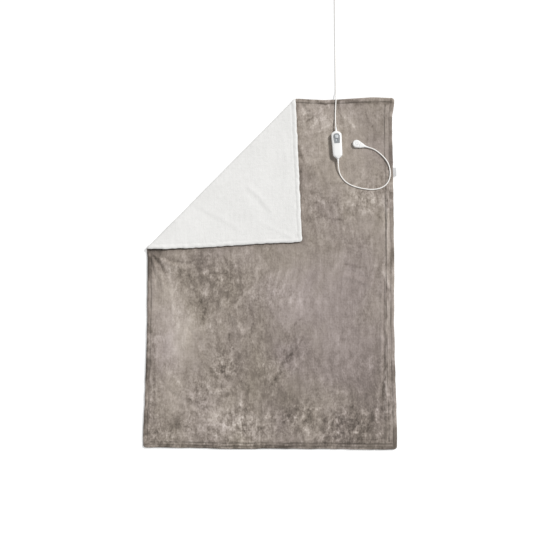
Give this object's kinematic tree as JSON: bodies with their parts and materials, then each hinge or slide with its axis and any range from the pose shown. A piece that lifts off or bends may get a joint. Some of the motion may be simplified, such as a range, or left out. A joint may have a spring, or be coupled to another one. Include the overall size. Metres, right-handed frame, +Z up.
{
  "type": "electric heated throw",
  "caption": "Plush and fleece heated throw lying flat with one corner folded over, with a slide-switch hand control, its plug-in lead and a coiled mains lead.",
  "frame": {"origin": "under the middle of the throw, on the surface it lies on", "axes": "+Z up, +Y along the throw towards its head end, where the mains lead leaves, +X to the right seen from above"},
  "size_m": [1.2847, 2.4657, 0.0385],
  "materials": {
    "plush": "matte",
    "fleece": "matte",
    "nonwoven": "matte",
    "wire_sheath": "matte",
    "label_cloth": "satin",
    "white_plastic": "satin",
    "grey_plastic": "satin",
    "knob_plastic": "satin",
    "cord_sheath": "satin",
    "board": "satin",
    "dark_part": "matte",
    "glass": "gloss",
    "screw_steel": "satin",
    "brass": "satin"
  },
  "bodies": {
    "throw": {"fleece_backing": "fleece", "heater_carrier": "nonwoven", "heating_wire": "wire_sheath", "plush_cover": "plush", "corner_feed_wire_1": "wire_sheath", "corner_feed_wire_2": "wire_sheath", "corner_wire_bend_1": "wire_sheath", "corner_wire_bend_2": "wire_sheath", "fleece_fold": "fleece", "heater_carrier_fold": "nonwoven", "plush_fold": "plush", "overheat_cutout": "dark_part", "care_label": "label_cloth", "control_base": "white_plastic", "control_cover": "white_plastic", "switch_window": "grey_plastic", "circuit_board": "board", "slide_switch": "dark_part", "indicator_led": "glass", "fuse": "glass", "capacitor": "dark_part", "triac": "dark_part", "body_lead_terminal": "brass", "mains_lead_terminal": "brass", "control_screw_1": "screw_steel", "control_screw_2": "screw_steel", "control_screw_3": "screw_steel", "control_screw_4": "screw_steel", "mains_strain_relief": "white_plastic", "body_strain_relief": "white_plastic", "socket_flange": "white_plastic", "socket_housing": "white_plastic", "release_spring": "screw_steel", "socket_pin_1": "brass", "socket_pin_2": "brass", "loop_lead": "cord_sheath", "mains_lead": "cord_sheath", "mains_tail": "cord_sheath", "mains_coil": "cord_sheath", "cable_tie": "dark_part", "mains_plug_body": "white_plastic", "mains_plug_relief": "white_plastic", "mains_plug_pin_1": "screw_steel", "mains_plug_pin_2": "screw_steel"},
    "folded_corner": {"fleece_corner": "fleece", "heater_carrier_corner": "nonwoven", "heating_wire_corner": "wire_sheath", "plush_corner": "plush"},
    "switch_slider": {"switch_knob": "knob_plastic"},
    "lead_plug": {"plug_upper_shell": "white_plastic", "plug_lower_shell": "white_plastic", "plug_contact_1": "brass", "plug_contact_2": "brass", "plug_strain_relief": "white_plastic"},
    "release_button": {"release_button": "white_plastic"}
  },
  "joints": [
    {"name": "corner_fold", "type": "hinge", "parent": "throw", "child": "folded_corner", "pos_m": [-0.25147, 0.50269, 0.01135], "axis": [-0.6927, -0.7212, 0], "range_deg": [0, 179.5], "deforming": ["fleece_fold", "heater_carrier_fold", "plush_fold", "corner_wire_bend_1", "corner_wire_bend_2"]},
    {"name": "switch_slide", "type": "slide", "parent": "throw", "child": "switch_slider", "axis": [0.0558, -0.9984, 0], "range_m": [0, 0.018]},
    {"name": "plug_pull", "type": "slide", "parent": "throw", "child": "lead_plug", "axis": [0.9563, -0.2924, 0], "range_m": [0, 0.026], "deforming": ["loop_lead"]},
    {"name": "release_press", "type": "slide", "parent": "throw", "child": "release_button", "axis": [0, 0, -1], "range_m": [0, 0.0012], "stiffness_N_per_m": 900, "deforming": ["release_spring"]}
  ]
}
